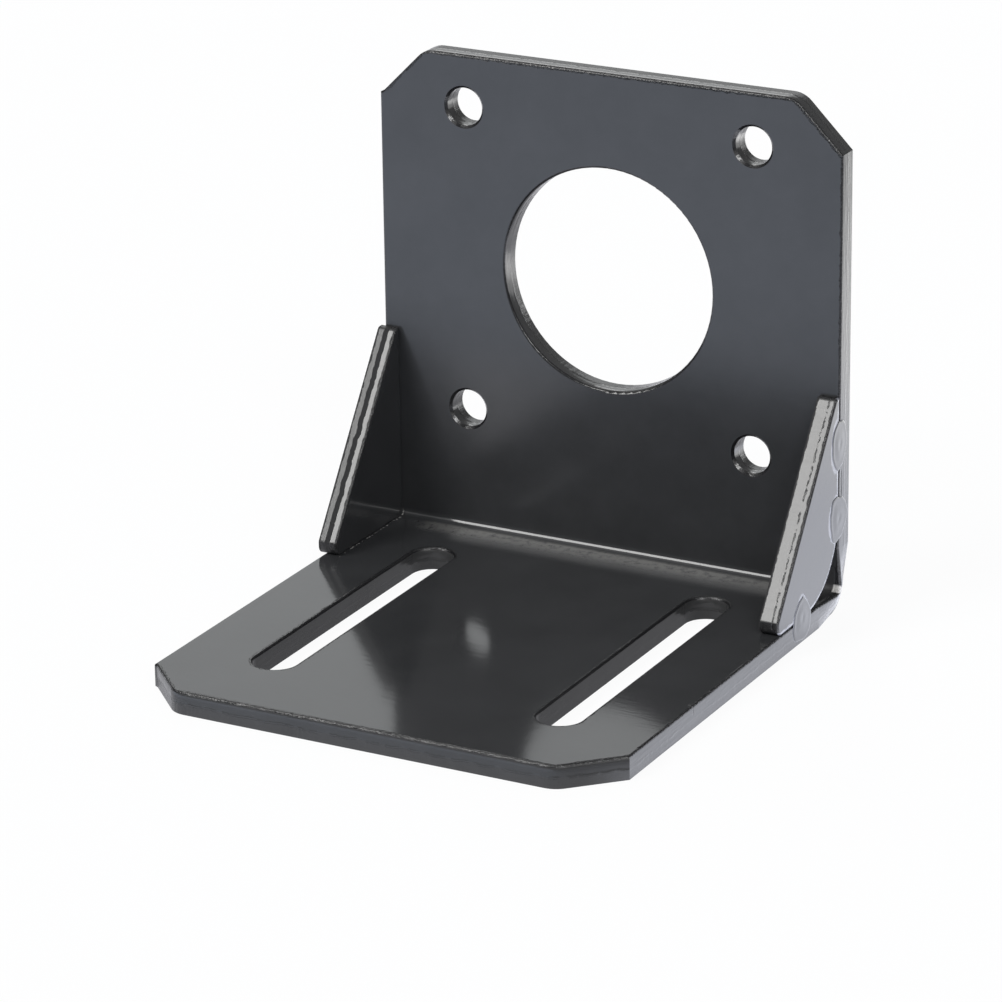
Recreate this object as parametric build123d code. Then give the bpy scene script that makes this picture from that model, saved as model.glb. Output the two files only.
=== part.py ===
from build123d import *
import os

# Motor mounting bracket: a blanked sheet folded into an L and stiffened by two
# corner gussets, which are tack-welded to the sheet's edges.
# Millimetres.  The base rests on Z = 0 and runs forward, towards -Y, from the
# upright.  The part is symmetric about X = 0 but for the shear nibs, the left
# gusset's small overhang and the gussets' inner corners.

# ---- driving dimensions ---------------------------------------------------------
sheet = 2.3                  # thickness of the folded sheet
width = 49.6                 # across the sheet's sides
depth = 52.0                 # front edge of the base to the back of the upright
height = 51.0                # underside of the base to the top of the upright
fold_inner_radius = 0.8      # the sheet is folded almost sharp on the inside
edge_roll = 0.25             # rounding left by the punch, on the inside face only

motor_axis_height = 30.25    # pilot hole's centre above the underside
pilot_diameter = 22.5        # clears the motor's 22 mm pilot boss
motor_bolt_square = 31.0     # hole to hole, both ways
motor_bolt_diameter = 3.8    # clearance hole for the motor's M3 screws
motor_bolt_bevel = 0.25      # lead-in on the motor's side

slot_width = 4.4             # clearance slots for M4 screws
slot_length = 34.7           # end to end
slot_spacing = 30.0          # between the slots' centre lines
slot_centre_from_back = 26.35

corner_cut = 5.0             # legs of the 45 degree corner cuts
corner_round = 2.5           # where a corner cut runs into the sheet's end edge
shear_nib = 0.35             # lip left on the left side beside each corner cut

gusset_thickness = 2.0
gusset_height = 19.8         # up the upright, from the top of the base
gusset_reach = 13.5          # along the base, from the upright's front face
gusset_nose = 0.7            # flat at the gusset's top end
gusset_toe = 1.4             # height of its blunt front end
gusset_relief = {"left": 1.6, "right": 7.5}      # radius of the corner that clears the fold
gusset_corner_round = 0.5    # softened corners of the nose and the top of the toe
gusset_toe_round = 0.9       # the toe's lower corner, lifted off the base
gusset_overhang = {"left": 0.35, "right": 0.0}   # beyond the sheet's side

# Folding squeezes the sheet out sideways on the inside of the fold and draws it
# in on the outside.  Both die away over a short run of each flat leg.
fold_swell = 0.45
fold_draw = 0.45
fold_run = 3.5

# Tack welds lie on the outer faces, across the joints.
tack_rise = 0.5              # above the sheet's side
upright_tacks = [            # (height of the centre, length along the joint, width across it)
    (17.4, 5.2, 3.3),
    (10.1, 4.6, 3.9),
]
base_tack_from_back = 10.35
base_tack_height = 2.6       # of its centre, just above the joint
base_tack_length = 4.8       # along the joint
base_tack_width = 4.2        # across it

# ---- places that follow from them -----------------------------------------------
half = width / 2
back = depth / 2
face = back - sheet          # front face of the upright
fold_outer_radius = fold_inner_radius + sheet
flat_start = fold_outer_radius + fold_run
fold_axis = Axis((0, back - fold_outer_radius, fold_outer_radius), (1, 0, 0))
same_place = 0.01            # coordinates nearer to each other than this are one

# On these planes X is the part's X and Y is the distance from the outside corner
# of the fold, along one leg.
base_plane = Plane((0, back, 0), x_dir=(1, 0, 0), z_dir=(0, 0, -1))
upright_plane = Plane((0, back, 0), x_dir=(1, 0, 0), z_dir=(0, -1, 0))


def near(shapes, plane, axis, value):
    """Those shapes whose centre lies at the given local coordinate of the plane."""
    def offset(shape):
        return getattr(plane.to_local_coords(shape.center()), axis) - value
    return [shape for shape in shapes if abs(offset(shape)) < same_place]


def flat_leg(plane, thickness, end):
    """One flat leg of the blank, with cut corners and its inside edges rolled."""
    cut = end - corner_cut
    outline = Polyline(
        (half, flat_start),
        (half, cut),
        (half - corner_cut, end),
        (corner_cut - half, end),
        (shear_nib - half, cut + shear_nib),
        (-half, cut + shear_nib / 2),
        (-half, flat_start),
        close=True,
    )
    leg = extrude(plane * make_face(outline), amount=thickness, dir=plane.z_dir)
    corners = near(leg.edges().filter_by(Axis((0, 0, 0), plane.z_dir)), plane, "Y", end)
    leg = fillet(corners, corner_round)
    rim = near(leg.edges(), plane, "Z", thickness)
    rolled = [edge for edge in rim if edge not in near(rim, plane, "Y", flat_start)]
    return fillet(rolled, edge_roll)


def sheet_section(inner_half, outer_half):
    """Section across the sheet: X is the part's X, Y runs from the outside to the inside."""
    outline = Polyline(
        (-outer_half, 0), (outer_half, 0), (inner_half, sheet), (-inner_half, sheet), close=True
    )
    section = make_face(outline)
    inner = section.vertices().group_by(Axis.Y)[-1]
    return fillet(inner, edge_roll)


def base_section(distance, section):
    return Plane((0, back - distance, 0), x_dir=(1, 0, 0), z_dir=(0, -1, 0)) * section


def upright_section(distance, section):
    return Plane((0, back, distance), x_dir=(1, 0, 0), z_dir=(0, 0, -1)) * section


def round_hole(x, z, diameter):
    return Pos(x, back - sheet / 2, z) * Rot(90, 0, 0) * Cylinder(diameter / 2, 2 * sheet)


def base_slot(x):
    outline = SlotOverall(slot_length, slot_width, rotation=90)
    return Pos(x, back - slot_centre_from_back, -sheet) * extrude(outline, 3 * sheet)


def bolt_hole(x, z):
    """A motor bolt hole with a bevelled mouth on the motor's side."""
    radius = motor_bolt_diameter / 2
    from_face = (Align.CENTER, Align.CENTER, Align.MIN)
    mouth = Cone(radius + motor_bolt_bevel, radius, motor_bolt_bevel, align=from_face)
    return round_hole(x, z, motor_bolt_diameter) + Pos(x, face, z) * Rot(-90, 0, 0) * mouth


def roll_cut_outs(plate):
    """Rounds the rims that the punch left on the inside faces, round the cut-outs made so far."""
    inside_faces = near(plate.faces(), upright_plane, "Z", sheet)
    inside_faces += near(plate.faces(), Plane.XY, "Z", sheet)
    rims = [edge for inside in inside_faces for wire in inside.inner_wires() for edge in wire.edges()]
    return fillet(rims, edge_roll)


def angle_plate():
    """The folded sheet: two flat legs, the fold between them, holes and slots."""
    plain = sheet_section(half, half)
    folded = sheet_section(half + fold_swell, half - fold_draw)
    plate = flat_leg(base_plane, -sheet, depth)
    plate += flat_leg(upright_plane, sheet, height)
    for place in (base_section, upright_section):
        plate += loft([place(flat_start, plain), place(fold_outer_radius, folded)], ruled=True)
    plate += revolve(base_section(fold_outer_radius, folded), fold_axis, 90)

    plate -= round_hole(0, motor_axis_height, pilot_diameter)
    plate -= [base_slot(x) for x in (-slot_spacing / 2, slot_spacing / 2)]
    plate = roll_cut_outs(plate)
    side = motor_bolt_square / 2
    return plate - [bolt_hole(x, motor_axis_height + z) for x in (-side, side) for z in (-side, side)]


def touches_sheet(edge):
    """True for an edge that lies wholly on the upright's face or on the base's."""
    box = edge.bounding_box()
    return abs(box.min.Y - face) < same_place or abs(box.max.Z - sheet) < same_place


def gusset(side):
    """A gusset seated on the base and the upright, its rolled edges towards +X."""
    overhang = gusset_overhang[side]
    left_x = half + overhang - gusset_thickness if side == "right" else -half - overhang
    # On this plane X runs forward from the upright and Y runs up from the base.
    seat = Plane((left_x, face, sheet), x_dir=(0, -1, 0), z_dir=(-1, 0, 0))
    outline = Polyline(
        (0, 0),
        (0, gusset_height),
        (gusset_nose, gusset_height),
        (gusset_reach, gusset_toe),
        (gusset_reach, 0),
        close=True,
    )
    plate = extrude(seat * make_face(outline), amount=gusset_thickness, dir=(1, 0, 0))

    def corner(forward, up):
        return near(near(plate.edges().filter_by(Axis.X), seat, "X", forward), seat, "Y", up)

    plate = fillet(corner(0, 0), gusset_relief[side])
    plate = fillet(corner(gusset_nose, gusset_height), gusset_corner_round)
    plate = fillet(corner(gusset_reach, gusset_toe), gusset_corner_round)
    plate = fillet(corner(gusset_reach, 0), gusset_toe_round)
    right_rim = near(plate.edges(), seat, "Z", -gusset_thickness)
    return fillet([edge for edge in right_rim if not touches_sheet(edge)], edge_roll)


def bead(length, width):
    """A tack weld: a low rounded cap that lies on X = 0 and rises towards +X, its length along Z."""
    radius = (width ** 2 / 4 + tack_rise ** 2) / (2 * tack_rise)
    reach = (length - width) / 2
    core = Cylinder(radius, 2 * reach)
    core += [Pos(0, 0, end) * Sphere(radius) for end in (-reach, reach)]
    above = Pos(radius, 0, 0) * Box(2 * radius, 2 * width, 2 * length)
    return (Pos(tack_rise - radius, 0, 0) * core) & above


def tack_welds(side, gusset_part):
    """Three tacks on one side: two across the upright's joint and one across the base's."""
    beads = [Pos(half, face, z) * bead(length, width) for z, length, width in upright_tacks]
    base_joint = Pos(half, back - base_tack_from_back, base_tack_height)
    beads.append(base_joint * Rot(90, 0, 0) * bead(base_tack_length, base_tack_width))
    group = Part() + beads
    if side == "left":
        group = mirror(group, Plane.YZ)
    return group - gusset_part


def save(name, shape):
    export_step(shape, f"parts/{name}.step")


os.makedirs("parts", exist_ok=True)
save("angle_plate", angle_plate())
for side in ("left", "right"):
    stiffener = gusset(side)
    save(f"{side}_gusset", stiffener)
    save(f"{side}_tack_welds", tack_welds(side, stiffener))
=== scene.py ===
import math
import bmesh
import bpy
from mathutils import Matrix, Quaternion, Vector


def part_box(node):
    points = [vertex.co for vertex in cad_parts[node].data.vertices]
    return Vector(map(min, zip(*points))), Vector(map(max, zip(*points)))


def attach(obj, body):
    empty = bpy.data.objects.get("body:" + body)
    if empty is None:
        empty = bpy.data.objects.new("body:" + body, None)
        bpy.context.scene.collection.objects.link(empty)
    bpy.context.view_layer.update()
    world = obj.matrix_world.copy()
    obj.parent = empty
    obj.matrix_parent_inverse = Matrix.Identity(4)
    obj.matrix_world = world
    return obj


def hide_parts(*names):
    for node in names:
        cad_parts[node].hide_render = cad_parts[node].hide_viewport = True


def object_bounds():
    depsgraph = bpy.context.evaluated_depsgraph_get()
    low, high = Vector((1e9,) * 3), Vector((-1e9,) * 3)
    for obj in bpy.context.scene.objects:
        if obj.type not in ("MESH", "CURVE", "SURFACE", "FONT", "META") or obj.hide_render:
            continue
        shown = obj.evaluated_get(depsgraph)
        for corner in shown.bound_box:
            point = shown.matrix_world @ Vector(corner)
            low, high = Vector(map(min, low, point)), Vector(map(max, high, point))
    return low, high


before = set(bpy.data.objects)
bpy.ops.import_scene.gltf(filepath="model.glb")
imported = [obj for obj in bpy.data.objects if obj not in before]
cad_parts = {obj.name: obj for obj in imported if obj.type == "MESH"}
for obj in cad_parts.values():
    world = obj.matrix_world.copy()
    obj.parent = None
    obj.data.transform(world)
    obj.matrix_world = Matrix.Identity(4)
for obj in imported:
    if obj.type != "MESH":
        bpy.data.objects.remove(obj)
cad_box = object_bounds()

MM = 0.001
SIDES = ("left", "right")

# ---- sizes shared with the CAD, in millimetres ----------------------------------------
SHEET = 2.3                  # thickness of the folded sheet
FOLD_RADIUS = 0.8            # on the inside of the fold
SIDE = 24.8                  # the sheet's sides, left and right of the middle
CORNER_CUT = 5.0             # legs of the corner cuts
SLOT_X = 15.0                # the slots' middle lines, left and right
SLOT_Y = -0.35               # their middle
SLOT_RADIUS = 2.2
SLOT_RUN = 15.15             # from the middle to the centre of each end
BACK = cad_box[1][1] / MM    # outside face of the upright
DEPTH = BACK - cad_box[0][1] / MM
HEIGHT = cad_box[1][2] / MM
FACE = BACK - SHEET          # front face of the upright
FOLD_Y = FACE - FOLD_RADIUS  # axis of the fold
FOLD_Z = SHEET + FOLD_RADIUS
GUSSET = 2.0                 # thickness
GUSSET_SLOPE = (0.0, -0.821, 0.571)              # normal of the sloping edge
GUSSET_RELIEF = {"left": 1.6, "right": 7.5}      # radius of the inner corner
# Each gusset's face on +X, where its blank was punched from.
GUSSET_PUNCH_SIDE = {side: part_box("%s_gusset" % side)[1][0] / MM for side in SIDES}

# ---- camera ---------------------------------------------------------------------------
CAMERA_AIM = Vector((2.19, -2.56, 16.69)) * MM
CAMERA_AZIMUTH = 28.293      # degrees
CAMERA_ELEVATION = 20.479
CAMERA_ROLL = 0.747          # clockwise, seen from behind the camera
CAMERA_DISTANCE = 469.05 * MM
CAMERA_LENS = 180.86
CAMERA_SENSOR = 36.0         # width, in the same unit as the lens
CAMERA_CLIP = (0.01, 20.0)   # metres


def outward(azimuth, elevation):
    """Unit vector away from the object, by degrees: azimuth 0 is in front of it, 90 on its right."""
    level = math.cos(math.radians(elevation))
    east, south = math.sin(math.radians(azimuth)), math.cos(math.radians(azimuth))
    return Vector((east * level, -south * level, math.sin(math.radians(elevation))))


def make_camera():
    data = bpy.data.cameras.new("camera")
    data.lens = CAMERA_LENS
    data.sensor_width = CAMERA_SENSOR
    data.clip_start, data.clip_end = CAMERA_CLIP
    camera = bpy.data.objects.new("camera", data)
    back = outward(CAMERA_AZIMUTH, CAMERA_ELEVATION)
    camera.location = CAMERA_AIM + back * CAMERA_DISTANCE
    camera.rotation_mode = "QUATERNION"
    level = (-back).to_track_quat("-Z", "Y")
    camera.rotation_quaternion = level @ Quaternion((0, 0, 1), -math.radians(CAMERA_ROLL))
    bpy.context.scene.collection.objects.link(camera)
    bpy.context.scene.camera = camera


# ---- shader helpers -------------------------------------------------------------------
NOISE_RANGE = (0.3, 0.7)     # where most of a noise's values lie


class Nodes:
    """Builds a node tree; most methods add one node or a few and return an output socket."""

    def __init__(self, owner):
        owner.use_nodes = True
        self.tree = owner.node_tree
        self.tree.nodes.clear()

    def add(self, kind, inputs=(), **settings):
        node = self.tree.nodes.new(kind)
        for name, value in settings.items():
            setattr(node, name, value)
        for key, value in dict(inputs).items():
            self.feed(node.inputs[key], value)
        return node

    def feed(self, socket, value):
        if isinstance(value, bpy.types.NodeSocket):
            self.tree.links.new(value, socket)
        elif socket.type == "RGBA":
            socket.default_value = (*value, 1)
        else:
            socket.default_value = value

    def math(self, operation, first, *others):
        """The operation on the first two values, then on that result and the next, and so on."""
        for other in others:
            inputs = {0: first, 1: other}
            first = self.add("ShaderNodeMath", inputs, operation=operation).outputs[0]
        return first

    def total(self, *values):
        return self.math("ADD", *values)

    def less(self, value, taken):
        return self.math("SUBTRACT", value, taken)

    def product(self, *values):
        return self.math("MULTIPLY", *values)

    def most(self, *values):
        return self.math("MAXIMUM", *values)

    def least(self, *values):
        return self.math("MINIMUM", *values)

    def size(self, value):
        return self.add("ShaderNodeMath", {0: value}, operation="ABSOLUTE").outputs[0]

    def vector(self, operation, *values):
        return self.add("ShaderNodeVectorMath", enumerate(values), operation=operation).outputs[0]

    def scale(self, vector, factor):
        return self.add("ShaderNodeVectorMath", {0: vector, "Scale": factor}, operation="SCALE").outputs[0]

    def measure(self, operation, *vectors):
        """A number that comes from vectors, such as their distance."""
        node = self.add("ShaderNodeVectorMath", enumerate(vectors), operation=operation)
        return node.outputs["Value"]

    def dot(self, first, second):
        return self.measure("DOT_PRODUCT", first, second)

    def length(self, x=0.0, y=0.0, z=0.0):
        return self.measure("LENGTH", self.join(x, y, z))

    def join(self, x=0.0, y=0.0, z=0.0):
        return self.add("ShaderNodeCombineXYZ", enumerate((x, y, z))).outputs[0]

    def split(self, vector):
        return self.add("ShaderNodeSeparateXYZ", {0: vector}).outputs

    def remap(self, value, low, high, new_low, new_high, interpolation="LINEAR"):
        inputs = {"Value": value, "From Min": low, "From Max": high, "To Min": new_low, "To Max": new_high}
        return self.add("ShaderNodeMapRange", inputs, interpolation_type=interpolation).outputs["Result"]

    def smooth(self, value, none, full):
        """0 up to none, 1 from full on, and a smooth step between them; full may be the lower one."""
        return self.remap(value, none, full, 0.0, 1.0, "SMOOTHSTEP")

    def zone(self, *steps):
        """Where all the smooth steps are full, each given as (value, none, full)."""
        return self.product(*[self.smooth(*step) for step in steps])

    def mix_number(self, share, first, second):
        return self.remap(share, 0.0, 1.0, first, second)

    def mix_colour(self, share, first, second):
        return self.add("ShaderNodeMix", {0: share, 6: first, 7: second}, data_type="RGBA").outputs[2]

    def noise(self, vector, kind):
        """Soft noise.  Its kind is the number of features a unit, the detail and the roughness."""
        scale, detail, roughness = kind
        inputs = {"Vector": vector, "Scale": scale, "Detail": detail, "Roughness": roughness}
        return self.add("ShaderNodeTexNoise", inputs).outputs["Fac"]

    def wander(self, vector, kind, reach):
        """Noise that runs from -reach to reach."""
        return self.remap(self.noise(vector, kind), *NOISE_RANGE, -reach, reach)

    def layers(self, vector, kinds):
        """The sum of noises, each given as (kind, height)."""
        return self.total(*[self.product(self.noise(vector, kind), height) for kind, height in kinds])


# ---- light ----------------------------------------------------------------------------
# A dim tent, with soft lamps that are patches of its wall.  Each patch: azimuth and
# elevation of its middle, the radius it fills, the radius where it ends, radiance, colour.
TENT_COLOUR = (0.18, 0.18, 0.18)
PATCHES = [
    (-35.6, 41.0, 9.5, 17.0, 9.6, (1.0, 0.995, 0.985)),      # key, in front on the left
    (52.0, 42.0, 12.0, 38.0, 1.3, (1.0, 1.0, 1.0)),          # fill, in front on the right
    (-105.0, 60.0, 18.0, 40.0, 0.45, (1.0, 1.0, 1.0)),       # high on the left
    (44.0, 38.0, 3.0, 9.0, 15.0, (1.0, 1.0, 1.0)),           # core of the fill
    (-152.0, 23.0, 9.0, 25.0, 0.93, (0.97, 1.0, 1.01)),      # behind, on the left
    (-146.0, 40.0, 6.0, 12.0, 3.0, (1.0, 1.0, 1.0)),         # above it
]


def make_world():
    world = bpy.data.worlds.new("tent")
    bpy.context.scene.world = world
    n = Nodes(world)
    direction = n.add("ShaderNodeTexCoord").outputs["Generated"]
    light = TENT_COLOUR
    for azimuth, elevation, inner, outer, radiance, colour in PATCHES:
        nearness = n.dot(direction, outward(azimuth, elevation))
        share = n.smooth(nearness, math.cos(math.radians(outer)), math.cos(math.radians(inner)))
        light = n.vector("ADD", n.scale(tuple(radiance * c for c in colour), share), light)
    seen = n.add("ShaderNodeLightPath").outputs["Is Camera Ray"]
    tent = n.add("ShaderNodeBackground", {"Color": light, "Strength": 1.0}).outputs[0]
    white = n.add("ShaderNodeBackground", {"Color": (1, 1, 1), "Strength": 1.0}).outputs[0]
    mixed = n.add("ShaderNodeMixShader", {0: seen, 1: tent, 2: white}).outputs[0]
    n.add("ShaderNodeOutputWorld", {"Surface": mixed})


FLOOR_HALF = 3.0             # metres
FLOOR_DROP = 0.02 * MM       # below the object's underside
FLOOR_COLOUR = (0.84, 0.87, 0.92)
FLOOR_SHOWN_WHITE = 0.94     # share of plain white in what the camera sees, over the shadow

# The floor is a light table whose glow the camera does not see: it is what the gloss paint
# mirrors.  A pair of numbers says where a soft step is none and where it is full, in
# millimetres, and a single number is the share of the glow that is left in a darker zone.
GLOW_LEFT = (1.08, 1.18, 1.38)         # in front on the left
GLOW_LEFT_BEHIND = (1.2, 1.2, 1.26)
LEFT_BEHIND = (-31, -25)
GLOW_POOL = (0.14, 0.16, 0.19)         # added round a point in front on the left
POOL_MIDDLE = (-55, -65, 0)
POOL_RADIUS = (75, 15)
NEAR_BASE_X = (-40, -20)
NEAR_BASE_Y = (-46, -32)
NEAR_BASE_GLOW = 0.62
# A dark band on the left widens the left gusset's reflection in the upright.
BAND_LEAN = 0.762            # how far it goes to the right for each millimetre backwards
BAND_RIGHT = (-26.2, -27.6)
BAND_LEFT = (-43, -39)
BAND_FRONT = (-33, -30)
BAND_BACK = (4, 0)
BAND_GLOW = 0.04
LEFT_TO_RIGHT = (SIDE - 3, SIDE + 1)   # where the right takes over from the left
GLOW_RIGHT = (2.15, 2.2, 2.4)
GLOW_FAR_BEHIND = (3.1, 3.1, 3.1)      # on the right
FAR_BEHIND = (45, 110)
FAR_RIGHT = (50, 100)
FAR_RIGHT_GLOW = 0.45
BESIDE_BASE_X = (33, 28)
BESIDE_BASE_Y = (22, 14)
BESIDE_BASE_GLOW = 0.82
GLOW_RIGHT_FRONT = (0.45, 0.47, 0.52)
FRONT_LEAN = 0.6             # how far its limit goes back for each millimetre to the right
RIGHT_FRONT = (-34, -42)
GLOW_UNDER = (0.40, 0.40, 0.42)        # under the base, where the slots show it
UNDER = (0.0, -0.6)          # past the base's outline


def dimmed(n, glow, share, left_over):
    """The glow, cut down to the part that is left over where the share is 1."""
    return n.scale(glow, n.mix_number(share, 1.0, left_over))


def glow_on_left(n, place, x, y):
    pool = n.scale(GLOW_POOL, n.smooth(n.measure("DISTANCE", place, POOL_MIDDLE), *POOL_RADIUS))
    glow = n.vector("ADD", n.mix_colour(n.smooth(y, *LEFT_BEHIND), GLOW_LEFT, GLOW_LEFT_BEHIND), pool)
    aslant = n.less(x, n.product(y, BAND_LEAN))
    band = n.zone((aslant, *BAND_RIGHT), (aslant, *BAND_LEFT), (y, *BAND_FRONT), (y, *BAND_BACK))
    glow = dimmed(n, glow, band, BAND_GLOW)
    return dimmed(n, glow, n.zone((x, *NEAR_BASE_X), (y, *NEAR_BASE_Y)), NEAR_BASE_GLOW)


def glow_on_right(n, x, y):
    glow = n.mix_colour(n.smooth(y, *FAR_BEHIND), GLOW_RIGHT, GLOW_FAR_BEHIND)
    glow = dimmed(n, glow, n.smooth(x, *FAR_RIGHT), FAR_RIGHT_GLOW)
    glow = dimmed(n, glow, n.zone((x, *BESIDE_BASE_X), (y, *BESIDE_BASE_Y)), BESIDE_BASE_GLOW)
    aslant = n.less(y, n.product(x, FRONT_LEAN))
    return n.mix_colour(n.smooth(aslant, *RIGHT_FRONT), glow, GLOW_RIGHT_FRONT)


def beyond(n, value, limit):
    """How far the value lies beyond a limit on either side of nought."""
    return n.less(n.size(value), limit)


def corner_cut(n, past_side, past_end):
    """How far a point is past a corner cut, from how far it is past the side and the end."""
    return n.product(n.total(past_side, past_end, CORNER_CUT), math.sqrt(0.5))


def glow_of_floor(n):
    place = n.scale(n.add("ShaderNodeNewGeometry").outputs["Position"], 1 / MM)
    x, y, _ = n.split(place)
    share = n.smooth(x, *LEFT_TO_RIGHT)
    glow = n.mix_colour(share, glow_on_left(n, place, x, y), glow_on_right(n, x, y))
    past_side = beyond(n, x, SIDE)
    past_end = beyond(n, y, BACK)
    off_base = n.most(past_side, past_end, corner_cut(n, past_side, past_end))
    return n.mix_colour(n.smooth(off_base, *UNDER), glow, GLOW_UNDER)


def make_floor():
    mesh = bpy.data.meshes.new("floor")
    corners = [(x * FLOOR_HALF, y * FLOOR_HALF, 0) for x, y in ((-1, -1), (1, -1), (1, 1), (-1, 1))]
    mesh.from_pydata(corners, [], [(0, 1, 2, 3)])
    floor = bpy.data.objects.new("floor", mesh)
    bpy.context.scene.collection.objects.link(floor)
    floor.location.z = -FLOOR_DROP
    material = bpy.data.materials.new("floor")
    mesh.materials.append(material)

    n = Nodes(material)
    paper = n.add("ShaderNodeBsdfDiffuse", {"Color": FLOOR_COLOUR}).outputs[0]
    white = n.add("ShaderNodeEmission", {"Color": (1, 1, 1), "Strength": 1.0}).outputs[0]
    shown = n.add("ShaderNodeMixShader", {0: FLOOR_SHOWN_WHITE, 1: paper, 2: white}).outputs[0]
    glow = n.add("ShaderNodeEmission", {"Color": glow_of_floor(n), "Strength": 1.0}).outputs[0]
    seen = n.add("ShaderNodeLightPath").outputs["Is Camera Ray"]
    mixed = n.add("ShaderNodeMixShader", {0: seen, 1: glow, 2: shown}).outputs[0]
    n.add("ShaderNodeOutputMaterial", {"Surface": mixed})


# ---- tack welds -----------------------------------------------------------------------
# Each tack: its middle and half its size, along Y and along Z, how much narrower it gets
# upwards, the squareness of its outline, and the lobes that make it uneven as (count, share
# of the radius, phase in degrees).
TACKS = {
    "upper": (
        (23.7, 17.4), (1.6, 2.6), 0.1, 2.0,
        [(2, 0.05, 30), (3, 0.05, 80), (7, 0.02, 0), (11, 0.01, 40)],
    ),
    "middle": (
        (23.6, 9.9), (1.95, 2.3), 0.0, 2.1,
        [(3, 0.08, 20), (6, 0.03, 0), (11, 0.014, 0)],
    ),
    "lower": (
        (15.5, 2.5), (1.95, 2.2), 0.5, 2.1,
        [(3, 0.05, 90), (5, 0.03, 40), (9, 0.016, 0)],
    ),
}
WELD_RINGS = 26
WELD_SPOKES = 72
# Heights in millimetres, and places as shares of the way from a tack's middle to its edge.
WELD_SKIN = 0.03
WELD_EDGE = 0.02             # more skin at an edge that stands up fully
WELD_SWELLS = [              # height, place and width
    (0.06, 0.0, 0.6),        # the sunken pool's low middle
    (-0.03, 0.05, 0.18),     # the dimple where the arc went out
]
WELD_LIP = (0.022, 0.9, 0.13)
WELD_ROUNDING = 24           # powers that bring the edge down, tighter the higher they are
WELD_END = 60
LIP_STANDS = (0.6, 0.4, 25)  # how far the lip stands up round a tack: mean, swing and phase in degrees
CLIMB_START = 1.3            # how far off a gusset's edge a tack begins to climb onto it
CLIMB_RUN = 1.5


def swell(share, height, place, width):
    """A bell-shaped rise, or a dip if its height is negative."""
    return height * math.exp(-((share - place) / width) ** 2)


def weld_rise(share, edge):
    """Height of a tack at a share of the way to its edge, where the lip stands up as edge says."""
    rounding = 1 - share ** WELD_ROUNDING
    rise = WELD_SKIN + WELD_EDGE * edge * math.sqrt(rounding)
    rise += swell(share, *WELD_LIP) * edge * rounding
    rise += sum(swell(share, *numbers) for numbers in WELD_SWELLS)
    return rise * (1 - share ** WELD_END)


def weld_point(tack, share, angle):
    """Y, Z and height over its seat of a point on a tack, in millimetres."""
    (middle_y, middle_z), (half_y, half_z), taper, square, lobes = tack
    c, s = math.cos(angle), math.sin(angle)
    reach = (abs(c) ** square + abs(s) ** square) ** (-1 / square)
    for count, swing, phase in lobes:
        reach *= 1 + swing * math.cos(count * angle - math.radians(phase))
    up = reach * share * s
    y = middle_y + half_y * reach * share * c * (1 - taper * up)
    mean, swing, phase = LIP_STANDS
    edge = mean - swing * math.cos(angle + math.radians(phase))
    return y, middle_z + half_z * up, weld_rise(share, edge)


def climb_share(y, z):
    """How far a tack has climbed onto the gusset at a point, from 0 to 1."""
    onto = (min(FACE - y, z - SHEET) + CLIMB_START) / CLIMB_RUN
    onto = min(max(onto, 0.0), 1.0)
    return onto ** 2 * (3 - 2 * onto)


def weld_rings(bm, tack, side):
    """The tack's vertices, ring by ring from its middle; the last ring lies on the sheet's side."""
    outwards = 1 if side == "right" else -1
    low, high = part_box("%s_gusset" % side)
    overhang = max(abs(low[0]), abs(high[0])) / MM - SIDE
    rings = []
    for ring in range(WELD_RINGS + 1):
        share = math.sin(0.5 * math.pi * ring / WELD_RINGS)
        points = []
        for spoke in range(WELD_SPOKES if ring else 1):
            y, z, rise = weld_point(tack, share, 2 * math.pi * spoke / WELD_SPOKES)
            step = overhang * climb_share(y, z) if ring < WELD_RINGS else 0.0
            points.append(bm.verts.new(Vector((outwards * (SIDE + step + rise), y, z)) * MM))
        rings.append(points)
    return rings


def weld_mesh(name, side):
    bm = bmesh.new()
    for tack in TACKS.values():
        rings = weld_rings(bm, tack, side)
        for inner, outer in zip(rings, rings[1:]):
            for spoke in range(WELD_SPOKES):
                after = (spoke + 1) % WELD_SPOKES
                if len(inner) == 1:
                    bm.faces.new((inner[0], outer[spoke], outer[after]))
                else:
                    bm.faces.new((inner[spoke], outer[spoke], outer[after], inner[after]))
        bm.faces.new(rings[-1][::-1])
    if side == "left":
        bmesh.ops.reverse_faces(bm, faces=bm.faces[:])
    mesh = bpy.data.meshes.new(name)
    bm.to_mesh(mesh)
    bm.free()
    for polygon in mesh.polygons:
        polygon.use_smooth = len(polygon.vertices) <= 4
    return mesh


def make_welds(side, paint):
    name = "%s_weld_beads" % side
    welds = bpy.data.objects.new(name, weld_mesh(name, side))
    bpy.context.scene.collection.objects.link(welds)
    welds.data.materials.append(paint)
    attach(welds, "root")
    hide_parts("%s_tack_welds" % side)


# ---- paint ----------------------------------------------------------------------------
# Lengths and heights are in millimetres.  A pair of numbers says where a soft step is none
# and where it is full.  A noise is (features a millimetre, detail, roughness).
PAINT_COLOUR = (0.030, 0.031, 0.033)
BARE_COLOUR = (0.056, 0.056, 0.056)    # thin paint over a sheared face
RAGGED_PAINT_AND_SHADE_COLOUR = (0.012, 0.012, 0.013)     # dark along sharp edges: ragged paint and painted shade; also the painted shadow in the fold
GLINT_COLOUR = (0.55, 0.54, 0.52)       # painted highlight: glints at the fold's end and along the left gusset's foot
PAINTED_HIGHLIGHT_COLOUR = (0.2, 0.205, 0.235)      # painted highlight: a pale line along the inner corners and round the tacks
BEND_REFLECTION_COLOUR = (0.085, 0.085, 0.083)    # painted reflection of the fold's highlight on the base beside it
PAINT_IOR = 1.55
GLOSS = 0.1                  # roughness of the flat faces
UPRIGHT_GLOSS = 0.19         # the upright's face is a little duller

SIDEWAYS = (1.0, 0.0, 0.0)
FORWARDS = (0.0, -1.0, 0.0)

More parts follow.
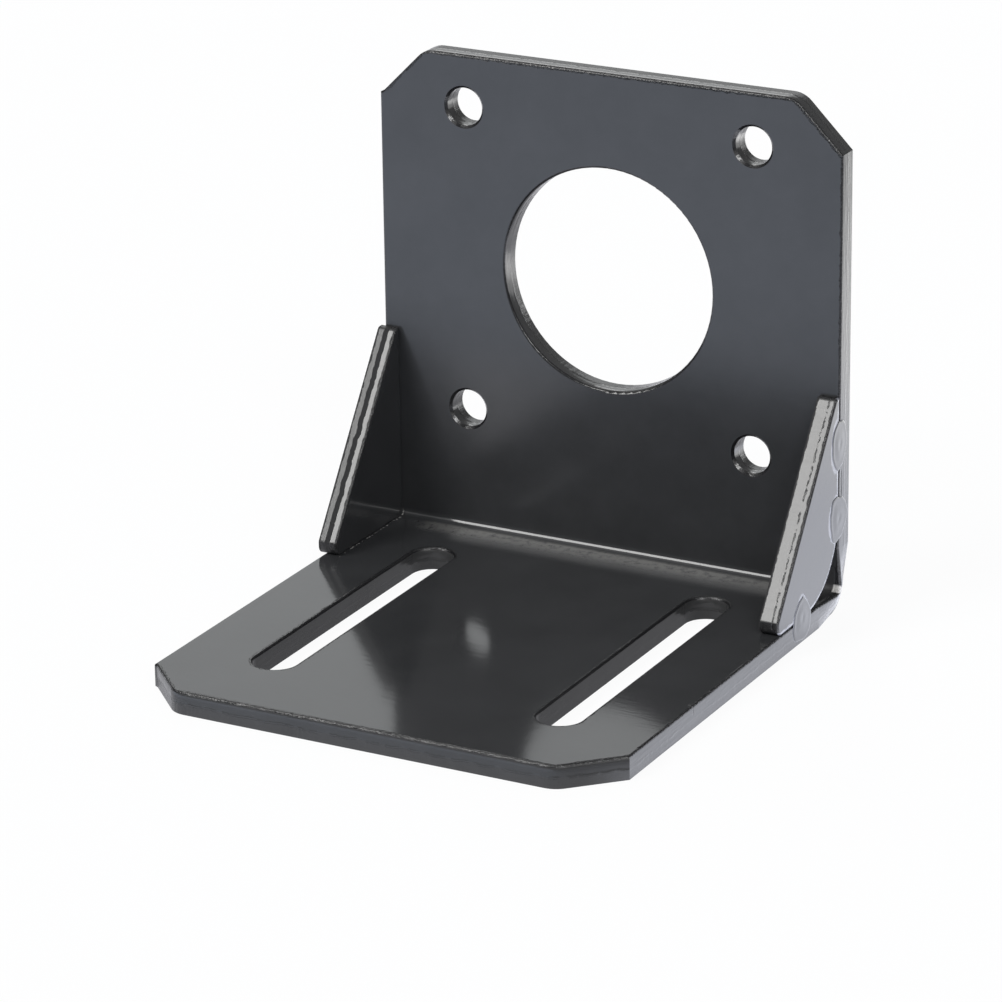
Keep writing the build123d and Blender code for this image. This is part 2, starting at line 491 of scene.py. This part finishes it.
PEEL = [((0.45, 1.0, 0.5), 0.0014), ((2.6, 2.0, 0.5), 0.0003)]
ROLLED = [((1.0, 4.0, 0.65), 0.0045)]
ROLLED_STRETCH = (0.3, 1.8, 1.8)
MOTTLE_NOISE = (0.16, 4.0, 0.6)
MOTTLE = 0.12                # share of the colour that comes and goes
RAGGED_NOISE = (2.6, 3.0, 0.7)         # of chipped edges
# How near a surface's normal is to the direction through the sheet, as a cosine.
WALL = (0.45, 0.1)
RIM_INSIDE = (0.03, 0.2)
RIM_OUTSIDE = (0.99, 0.85)


def finish_paint(n, colour, roughness, height):
    """The paint's shader, from colour, roughness and a height in millimetres."""
    bump = n.add("ShaderNodeBump", {"Strength": 1.0, "Distance": MM, "Height": height}).outputs[0]
    inputs = {"Base Color": colour, "Roughness": roughness, "IOR": PAINT_IOR, "Normal": bump}
    shader = n.add("ShaderNodeBsdfPrincipled", inputs).outputs[0]
    n.add("ShaderNodeOutputMaterial", {"Surface": shader})


def places(n):
    """Position in millimetres and surface normal."""
    geometry = n.add("ShaderNodeNewGeometry").outputs
    return n.scale(geometry["Position"], 1 / MM), geometry["Normal"]


def orange_peel(n, place):
    """Height of the slight unevenness of a sprayed coat over rolled sheet."""
    return n.total(n.layers(place, PEEL), n.layers(n.vector("MULTIPLY", place, ROLLED_STRETCH), ROLLED))


def mottle(n, place, colour):
    """Slow and fine changes of a paint's depth of colour."""
    return n.scale(colour, n.total(n.wander(place, MOTTLE_NOISE, MOTTLE), 1.0))


def masks(n, normal, across):
    """Where a surface is a sheared wall, and where it is the rolled rim beside one."""
    flatness = n.size(n.dot(normal, across))
    return n.smooth(flatness, *WALL), n.zone((flatness, *RIM_INSIDE), (flatness, *RIM_OUTSIDE))


# ---- sheared edges --------------------------------------------------------------------
# An edge is smooth near the side it was punched from, and torn below a wavy line.  Each
# tear: how far the line is from that side and how far it waves, how deep the torn part
# drops and over what width, the height of the ridge along the line, how steeply the torn
# part falls away, and how much of the edge is rolled over beside the punched side.
SHEET_TEAR = {
    "at": 1.3, "wave": 0.16, "drop": 0.05, "width": 0.2, "ridge": 0.055, "slope": 0.18, "rolled": 0.8,
}
GUSSET_TEARS = {
    "left": {
        "at": 0.74, "wave": 0.12, "drop": 0.4, "width": 0.56, "ridge": 0.0, "slope": 0.02, "rolled": 0.0,
    },
    "right": {
        "at": 1.85, "wave": 0.05, "drop": 0.05, "width": 0.12, "ridge": 0.0, "slope": 0.1, "rolled": 0.0,
    },
}
TEAR_NOISE = (0.55, 4.0, 0.65)
RIDGE_ABOVE = (-0.28, 0.0)   # how far the ridge reaches on each side of the line
RIDGE_BELOW = (0.12, 0.0)
RIDGE_NOISE = (1.1, 2.0, 0.5)
RIDGE_BREAKS = (0.3, 0.5)
ROLLED_CURVE = -0.3
STRIATIONS = [((4.0, 2.0, 0.5), 0.008), ((1.3, 2.0, 0.5), 0.04)]
STRIATION_SHARE = 0.2        # of the depth that counts, so that they run through the thickness
CRUMB_NOISE = (3.2, 3.0, 0.65)
CRUMBS = 0.03                # their height


def sheared_face(n, place, across, depth, tear):
    """How far a point is below the line, how torn it is, and its height.

    across is the direction through the thickness and depth the distance from the punched side.
    """
    through = n.dot(place, across)
    along = n.vector("SUBTRACT", place, n.scale(across, through))
    line = n.total(n.wander(along, TEAR_NOISE, tear["wave"]), tear["at"])
    below = n.less(depth, line)
    torn = n.remap(below, 0.0, tear["width"], 0.0, 1.0)
    broken = n.smooth(n.noise(along, RIDGE_NOISE), *RIDGE_BREAKS)
    ridge = n.product(n.zone((below, *RIDGE_ABOVE), (below, *RIDGE_BELOW)), broken, tear["ridge"])
    slope = n.product(n.most(n.less(below, tear["width"]), 0.0), -tear["slope"])
    rolled = n.most(n.less(tear["rolled"], depth), 0.0)
    grained = n.vector("ADD", along, n.scale(across, n.product(through, STRIATION_SHARE)))
    height = n.total(
        n.product(torn, -tear["drop"]),
        ridge,
        slope,
        n.product(rolled, rolled, ROLLED_CURVE),
        n.layers(grained, STRIATIONS),
        n.product(n.noise(place, CRUMB_NOISE), torn, CRUMBS),
    )
    return below, torn, height


# ---- the folded sheet's paint ---------------------------------------------------------
# The base's top face lifts a little before the fold.
FLARE_FROM = 18.6
FLARE_TO = FOLD_Y + 0.25
FLARE_CURVE = 0.031
FLARE_ABOVE = (1.2, 1.6)
FLARE_OFF_SIDES = (0.9, 0.5)

# On the sheet's sides, scores along the edge take the place of most of the tear.
FACING_SIDE = (0.9, 0.98)
SCORE_NOISE = (3.0, 1.0, 0.5)
SCORE_SHARE = 0.12           # of the way along the edge that counts, so that they run along it
SCORES = 0.02                # their height
TEAR_ON_SIDES = 0.12         # share that is left there

# The rims of the flat faces are ragged, and darkened as ragged paint and painted shade, but not along the
# left side.
BRINK = (0.34, 0.24)         # distance from the rim
BRINK_NOISE = (1.6, 3.0, 0.65)
BRINK_WAVES = 0.1
BRINK_RIGHT_OF = (0.4 - SIDE, 1.0 - SIDE)
BRINK_OFF_SIDES = 0.12       # how much narrower it is along the right side
BRINK_DARK = 0.9
RAGGED_RIM = 0.04            # heights
RAGGED_BRINK = 0.1

# Marks on the right side: their middle and half size in Y and Z, the share of the size
# that is full, and where they begin in X.
GAP = ((24.15, 13.3), (0.3, 1.6), 0.6, (SIDE - 1.0, SIDE - 0.6))       # dark, between two tacks
FOLD_END_GLINT = ((23.5, 2.6), (0.5, 0.45), 0.7, (SIDE - 0.5, SIDE - 0.3))       # painted highlight, at the fold's end
NICK = ((-8.1, 1.9), (0.12, 0.5), 0.3, (SIDE - 0.6, SIDE - 0.3))       # in the base's edge
MARK_HEIGHT = -0.1

FACING_FRONT = (0.95, 0.99)
ON_UPRIGHT = (SHEET, SHEET + 1)
SHEET_WALL_BARE = 0.5
SHEET_WALL_DULL = 0.08       # more roughness on the walls, and again where they are torn

# A speckled painted reflection of the fold's highlight lies where the base bends into the fold.
BEND_Y = (20.3, 22.0)
BEND_END = (FOLD_Y + 0.4, FOLD_Y - 0.1)
BEND_Z = (3.2, 2.8)
BEND_OFF_SIDES = (21.0, 19.0)
BEND_NOISE = (1.2, 4.0, 0.75)
BEND_SPECKS = (0.3, 0.55)

# Painted shadow, dark and dulled, lies in the fold beyond the right gusset.
FOLD_SHADOW_LEFT = (22.3, 22.8)
FOLD_SHADOW_RIGHT = (24.6, 24.3)
FOLD_SHADOW_Y = (20.0, 21.0)
FOLD_SHADOW_Z = (5.0, 4.0)
FOLD_SHADOW_DULL = 0.5

# Painted glints, pale specks, lie along the left gusset's foot.
FOOT_X = GUSSET_PUNCH_SIDE["left"] + 0.09
FOOT_WIDTH = (0.14, 0.04)
FOOT_Y = (10.2, 10.5)
FOOT_Z = (3.0, 2.5)
FOOT_NOISE = (3.4, 1.0, 0.5)
FOOT_SPECKS = (0.55, 0.66)
FOOT_GLINT_SHARE = 0.7


def through_sheet(n, y, z):
    """Direction through the thickness and distance from the inside face, on both legs and the fold."""
    behind = n.most(n.less(y, FOLD_Y), 0.0)
    under = n.product(n.most(n.less(FOLD_Z, z), 0.0), -1.0)
    across = n.vector("NORMALIZE", n.join(0.0, behind, under))
    return across, n.less(n.length(0.0, behind, under), FOLD_RADIUS)


def sideways_share(n, normal):
    """How squarely a surface faces the left or the right, from 0 to 1."""
    return n.size(n.dot(normal, SIDEWAYS))


def fold_flare(n, normal, y, z):
    """Height of the slow lift of the base before the tight fold."""
    run = n.least(n.most(n.less(y, FLARE_FROM), 0.0), FLARE_TO - FLARE_FROM)
    inside = n.zone((z, *FLARE_ABOVE), (sideways_share(n, normal), *FLARE_OFF_SIDES))
    return n.product(run, run, FLARE_CURVE, inside)


def inside_rim(n, x, y, z):
    """Distance on the sheet's flat faces to its outline or to a slot, whichever is nearer."""
    from_fold = n.less(BACK, y)
    end = n.mix_number(n.math("GREATER_THAN", z, from_fold), DEPTH, HEIGHT)
    past_end = n.less(n.most(from_fold, z), end)
    past_side = beyond(n, x, SIDE)
    past_slot = n.most(beyond(n, n.less(y, SLOT_Y), SLOT_RUN), 0.0)
    into_slot = n.less(SLOT_RADIUS, n.length(beyond(n, x, SLOT_X), past_slot))
    past_rim = n.most(
        into_slot,
        past_end,
        corner_cut(n, past_side, past_end),
        n.less(past_side, BRINK_OFF_SIDES),
    )
    return n.product(past_rim, -1.0)


def side_mark(n, x, y, z, mark):
    """A soft-edged ellipse on the part's right side."""
    middle, half, full, begins = mark
    off_y = n.product(n.less(y, middle[0]), 1 / half[0])
    off_z = n.product(n.less(z, middle[1]), 1 / half[1])
    return n.zone((n.length(off_y, off_z), 1.0, full), (x, *begins))


def sheet_shear(n, place, normal, across, depth):
    """How torn the sheet's sheared edges are, and their height."""
    _, y, z = n.split(place)
    _, torn, tear = sheared_face(n, place, across, depth, SHEET_TEAR)
    facing_side = n.smooth(sideways_share(n, normal), *FACING_SIDE)
    lengthways = n.join(n.product(n.less(z, y), SCORE_SHARE), depth)
    scores = n.product(n.noise(lengthways, SCORE_NOISE), facing_side, SCORES)
    return torn, n.total(n.product(tear, n.mix_number(facing_side, 1.0, TEAR_ON_SIDES)), scores)


def bend_reflection(n, place, x, y, z):
    """Where the painted reflection of the fold's highlight lies on the base beside the fold."""
    return n.zone(
        (y, *BEND_Y),
        (y, *BEND_END),
        (z, *BEND_Z),
        (n.size(x), *BEND_OFF_SIDES),
        (n.noise(place, BEND_NOISE), *BEND_SPECKS),
    )


def foot_glints(n, place, x, y, z, wobble):
    """Where painted glints lie along the left gusset's foot."""
    off_line = n.size(n.less(n.total(x, wobble), FOOT_X))
    specks = n.noise(place, FOOT_NOISE)
    broken = n.zone((off_line, *FOOT_WIDTH), (y, *FOOT_Y), (z, *FOOT_Z), (specks, *FOOT_SPECKS))
    return n.product(broken, FOOT_GLINT_SHARE)


def make_sheet_paint():
    material = bpy.data.materials.new("black_paint_sheet")
    n = Nodes(material)
    place, normal = places(n)
    x, y, z = n.split(place)
    across, depth = through_sheet(n, y, z)
    wall, rim = masks(n, normal, across)
    flat = n.less(1.0, wall)
    torn, shear = sheet_shear(n, place, normal, across, depth)
    gap, fold_end_glint, nick = [side_mark(n, x, y, z, mark) for mark in (GAP, FOLD_END_GLINT, NICK)]
    # Painted shadow in the fold beyond the right gusset.
    fold_shadow = n.zone((x, *FOLD_SHADOW_LEFT), (x, *FOLD_SHADOW_RIGHT), (y, *FOLD_SHADOW_Y), (z, *FOLD_SHADOW_Z))
    fold_shadow = n.product(fold_shadow, flat)
    wobble = n.wander(place, BRINK_NOISE, BRINK_WAVES)
    to_rim = n.total(inside_rim(n, x, y, z), wobble)
    brink = n.product(n.zone((to_rim, *BRINK), (x, *BRINK_RIGHT_OF)), flat)

    height = n.total(
        orange_peel(n, place),
        n.product(shear, wall),
        n.product(
            n.noise(place, RAGGED_NOISE),
            n.most(n.product(rim, RAGGED_RIM), n.product(brink, RAGGED_BRINK)),
        ),
        fold_flare(n, normal, y, z),
        n.product(n.total(gap, fold_end_glint, nick), MARK_HEIGHT),
    )

    on_front = n.zone((n.dot(normal, FORWARDS), *FACING_FRONT), (z, *ON_UPRIGHT))
    roughness = n.total(
        n.mix_number(on_front, GLOSS, UPRIGHT_GLOSS),
        n.product(wall, SHEET_WALL_DULL),
        n.product(wall, torn, SHEET_WALL_DULL),
        n.product(fold_shadow, FOLD_SHADOW_DULL),
    )

    colour = n.mix_colour(n.product(wall, SHEET_WALL_BARE), PAINT_COLOUR, BARE_COLOUR)
    # Painted reflection of the fold's highlight, speckled, on the base beside the fold.
    colour = n.mix_colour(bend_reflection(n, place, x, y, z), colour, BEND_REFLECTION_COLOUR)
    # Dark ragged paint with painted shade on the rims and brinks, the dark gap, and the painted shadow in
    # the fold.
    colour = n.mix_colour(n.most(rim, n.product(brink, BRINK_DARK), gap, fold_shadow), colour, RAGGED_PAINT_AND_SHADE_COLOUR)
    # Painted highlights: a glint at the fold's end and specks along the left gusset's foot.
    painted_glints = n.most(fold_end_glint, foot_glints(n, place, x, y, z, wobble))
    colour = n.mix_colour(painted_glints, mottle(n, place, colour), GLINT_COLOUR)
    finish_paint(n, colour, roughness, height)
    return material


# ---- the gussets' paint ---------------------------------------------------------------
FACING_SLOPE = (0.9, 0.98)
FACING_OUT = (0.5, 0.7)      # for the outer face's height
FACING_OUT_HIGHLIGHT = (0.1, 0.3)           # for its painted highlight lines, which run on over the rim
GUSSET_NOISE = (1.3, 3.0, 0.6)
GUSSET_WAVES = 0.09

# Dark lips, of ragged paint and painted shade, run along both rims of the edges and down the torn step.
LIP_NEAR = (0.3, 0.22)
LIP_FAR = (GUSSET - 0.22, GUSSET - 0.14)
STEP_SOFTNESS = 0.05
LIP_DULL = 0.4
GUSSET_WALL_DULL = 0.15
GUSSET_TORN_DULL = 0.12
GUSSET_NICKS = 0.12          # height, on the rims and the blunt edges

# A broken line is scored along the right gusset's sloping edge.
DASH_HEIGHT = {"left": 0.0, "right": -0.06}
DASH_DEPTH = 0.68            # through the thickness, from the punched side
DASH_WIDTH = (0.1, 0.02)
DASH_NOISE = (0.8, 4.0, 0.7)
DASHES = (0.48, 0.56)

# The outer face is rounded down along the inner corner, where a pale line is painted
# highlight.  Distances are inwards from the corner's edge.
CORNER_DROP_FROM = 0.35
CORNER_DROP = -0.15
CORNER_HIGHLIGHT = (0.5, 0.36)
CORNER_RIM = (0.5, 1.0)      # a dark rim begins only this far from the corner

# It sinks a little towards the tacks, and a pale line round them is painted highlight.
TACK_SINK = (0.4, 0.0)
TACK_SINK_HEIGHT = -0.012
TACK_RING_OUTSIDE = (0.3, 0.16)
TACK_RING_INSIDE = (-0.3, -0.1)


def beside_tack(n, y, z, tack):
    """Distance outside a tack's outline, near enough."""
    (middle_y, middle_z), (half_y, half_z), taper = tack[:3]
    up = n.product(n.less(z, middle_z), 1 / half_z)
    sideways = n.product(n.less(y, middle_y), 1 / half_y)
    sideways = n.math("DIVIDE", sideways, n.remap(up, -1.0, 1.0, 1.0 + taper, 1.0 - taper))
    return n.product(n.less(n.length(sideways, up), 1.0), half_y)


def towards_corner(n, y, z, relief):
    """Distance from the centre of a gusset's rounded inner corner, on the corner's side of it."""
    return n.length(n.most(n.less(y, FACE - relief), 0.0), n.most(n.less(SHEET + relief, z), 0.0))


def gusset_outside(n, y, z, wobble, relief):
    """Height of a gusset's outer face, and where a pale painted highlight lies."""
    corner = n.total(towards_corner(n, y, z, relief), wobble)
    height = n.product(n.most(n.less(corner, relief - CORNER_DROP_FROM), 0.0), CORNER_DROP)
    painted_highlight = n.smooth(corner, *[relief - inset for inset in CORNER_HIGHLIGHT])
    for tack in TACKS.values():
        off = beside_tack(n, y, z, tack)
        height = n.total(height, n.product(n.smooth(off, *TACK_SINK), TACK_SINK_HEIGHT))
        ring = n.zone((n.total(off, wobble), *TACK_RING_OUTSIDE), (off, *TACK_RING_INSIDE))
        painted_highlight = n.most(painted_highlight, ring)
    return height, painted_highlight


def make_gusset_paint(side):
    material = bpy.data.materials.new("black_paint_%s_gusset" % side)
    n = Nodes(material)
    place, normal = places(n)
    x, y, z = n.split(place)
    relief = GUSSET_RELIEF[side]
    depth = n.less(GUSSET_PUNCH_SIDE[side], x)
    wall, rim = masks(n, normal, SIDEWAYS)
    slope = n.product(wall, n.smooth(n.dot(normal, GUSSET_SLOPE), *FACING_SLOPE))
    blunt = n.product(wall, n.less(1.0, slope))
    tear = GUSSET_TEARS[side]
    below, torn, shear = sheared_face(n, place, SIDEWAYS, depth, tear)

    wobble = n.wander(place, GUSSET_NOISE, GUSSET_WAVES)
    ragged_depth = n.total(depth, wobble)
    lip = n.total(
        n.smooth(ragged_depth, *LIP_NEAR),
        n.smooth(ragged_depth, *LIP_FAR),
        n.zone((below, 0.0, STEP_SOFTNESS), (below, tear["width"], tear["width"] - STEP_SOFTNESS)),
    )
    lip = n.product(n.least(lip, 1.0), wall)
    off_line = n.size(n.less(ragged_depth, DASH_DEPTH))
    dashes = n.zone((off_line, *DASH_WIDTH), (n.noise(place, DASH_NOISE), *DASHES))
    outside_height, painted_highlight = gusset_outside(n, y, z, wobble, relief)
    facing_out = n.dot(normal, SIDEWAYS if side == "right" else tuple(-axis for axis in SIDEWAYS))
    corner_rim = n.smooth(towards_corner(n, y, z, relief), *[relief - inset for inset in CORNER_RIM])

    height = n.total(
        orange_peel(n, place),
        n.product(n.total(shear, n.product(dashes, DASH_HEIGHT[side])), wall),
        n.product(n.noise(place, RAGGED_NOISE), n.most(rim, blunt), GUSSET_NICKS),
        n.product(outside_height, n.smooth(facing_out, *FACING_OUT)),
    )

    roughness = n.total(
        GLOSS,
        n.product(wall, GUSSET_WALL_DULL),
        n.product(wall, torn, GUSSET_TORN_DULL),
        n.product(lip, LIP_DULL),
    )

    colour = n.mix_colour(slope, PAINT_COLOUR, BARE_COLOUR)
    # Dark ragged paint on the rims and lips, and painted shade on the blunt edges such as the toe and
    # nose.
    colour = n.mix_colour(n.most(n.product(rim, corner_rim), lip, blunt), colour, RAGGED_PAINT_AND_SHADE_COLOUR)
    # Painted highlight: a pale line along the inner corner and round the tacks.
    painted_highlight = n.product(painted_highlight, n.smooth(facing_out, *FACING_OUT_HIGHLIGHT))
    colour = mottle(n, place, n.mix_colour(painted_highlight, colour, PAINTED_HIGHLIGHT_COLOUR))
    finish_paint(n, colour, roughness, height)
    return material


# ---- the tack welds' paint ------------------------------------------------------------
WELD_STEEP = (0.93, 0.82)    # where a tack's surface is steep enough for a pale painted highlight


def make_weld_paint():
    material = bpy.data.materials.new("black_paint_weld")
    n = Nodes(material)
    place, normal = places(n)
    steep = n.smooth(sideways_share(n, normal), *WELD_STEEP)
    # Painted highlight on the steep edges of the tacks.
    colour = mottle(n, place, n.mix_colour(steep, PAINT_COLOUR, PAINTED_HIGHLIGHT_COLOUR))
    finish_paint(n, colour, GLOSS, orange_peel(n, place))
    return material


# ---- the scene ------------------------------------------------------------------------
def dress(node, material):
    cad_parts[node].material_slots[0].material = material


make_camera()
make_world()
make_floor()
dress("angle_plate", make_sheet_paint())
weld_paint = make_weld_paint()
for side in SIDES:
    dress("%s_gusset" % side, make_gusset_paint(side))
    dress("%s_tack_welds" % side, weld_paint)
    make_welds(side, weld_paint)

bpy.context.scene.view_settings.view_transform = "Standard"
